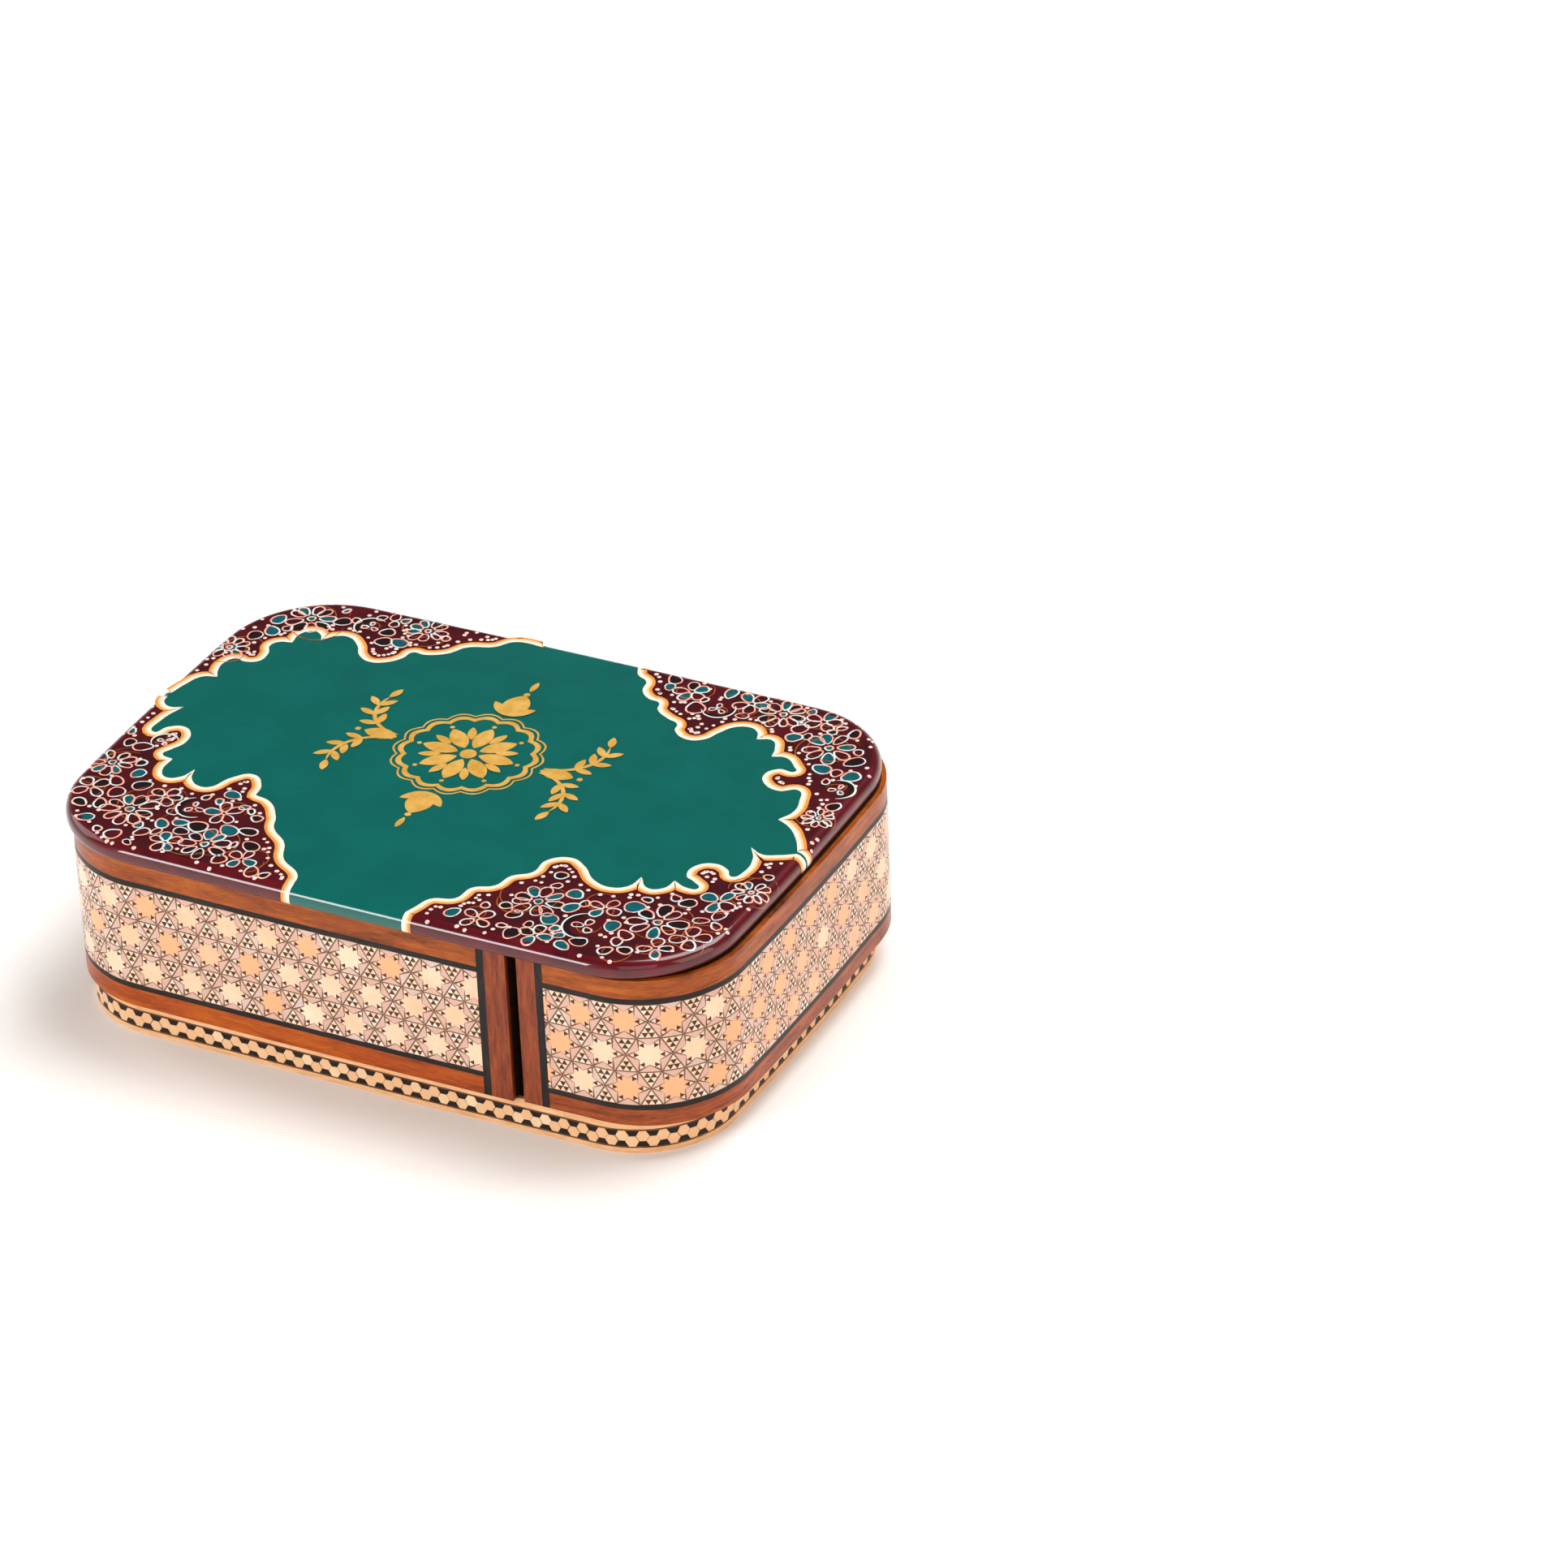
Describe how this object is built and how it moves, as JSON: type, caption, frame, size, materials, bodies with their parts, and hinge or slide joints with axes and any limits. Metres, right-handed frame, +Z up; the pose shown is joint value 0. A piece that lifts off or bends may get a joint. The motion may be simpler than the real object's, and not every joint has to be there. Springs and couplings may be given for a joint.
{
  "type": "inlaid wooden box",
  "caption": "Low box with rounded corners, mosaic-inlaid walls and a painted lacquered lid; a tray drawer with a curved end cap slides out of one end.",
  "frame": {"origin": "middle of the flat underside, on the surface that the box stands on", "axes": "+Z up; +X along the box, towards the drawer's end cap; -Y towards the long side that faces the viewer"},
  "size_m": [0.1209, 0.084, 0.0365],
  "materials": {
    "walnut_core": "satin",
    "orange_rail_wood": "gloss lacquer",
    "dark_stile_wood": "gloss lacquer",
    "black_inlay": "gloss lacquer",
    "khatam_inlay": "gloss lacquer",
    "hexagon_inlay": "gloss lacquer",
    "maple_strip": "gloss lacquer",
    "brown_line": "gloss lacquer",
    "painted_lid": "hand-painted under gloss lacquer",
    "guide_hardwood": "waxed",
    "tray_wood": "satin",
    "pin_brass": "turned",
    "lining_velvet": "short pile",
    "base_felt": "felt"
  },
  "bodies": {
    "case": {"plinth_core": "walnut_core", "base_felt": "base_felt", "plinth_base_strip": "maple_strip", "plinth_lower_line": "brown_line", "plinth_hexagon_band": "hexagon_inlay", "plinth_upper_line": "brown_line", "plinth_top_strip": "maple_strip", "case_wall": "walnut_core", "case_lower_rail": "orange_rail_wood", "case_lower_black_line": "black_inlay", "case_khatam_panel": "khatam_inlay", "case_upper_black_line": "black_inlay", "case_upper_rail": "orange_rail_wood", "case_front_upright_line": "black_inlay", "case_back_upright_line": "black_inlay", "case_front_stile": "dark_stile_wood", "case_back_stile": "dark_stile_wood", "lid_panel": "painted_lid", "front_runner": "guide_hardwood", "back_runner": "guide_hardwood", "front_kicker": "guide_hardwood", "back_kicker": "guide_hardwood", "drawer_stop_pin": "pin_brass"},
    "drawer": {"tray_floor": "tray_wood", "tray_wall": "tray_wood", "tray_floor_lining": "lining_velvet", "tray_wall_lining": "lining_velvet", "cap_wall": "walnut_core", "cap_lower_rail": "dark_stile_wood", "cap_lower_black_line": "black_inlay", "cap_khatam_panel": "khatam_inlay", "cap_upper_black_line": "black_inlay", "cap_upper_rail": "orange_rail_wood", "cap_front_upright_line": "black_inlay", "cap_back_upright_line": "black_inlay", "cap_front_stile": "dark_stile_wood", "cap_back_stile": "dark_stile_wood"}
  },
  "joints": [
    {"name": "drawer_slide", "type": "slide", "parent": "case", "child": "drawer", "axis": [1, 0, 0], "range_m": [-0.0018, 0.058]}
  ]
}
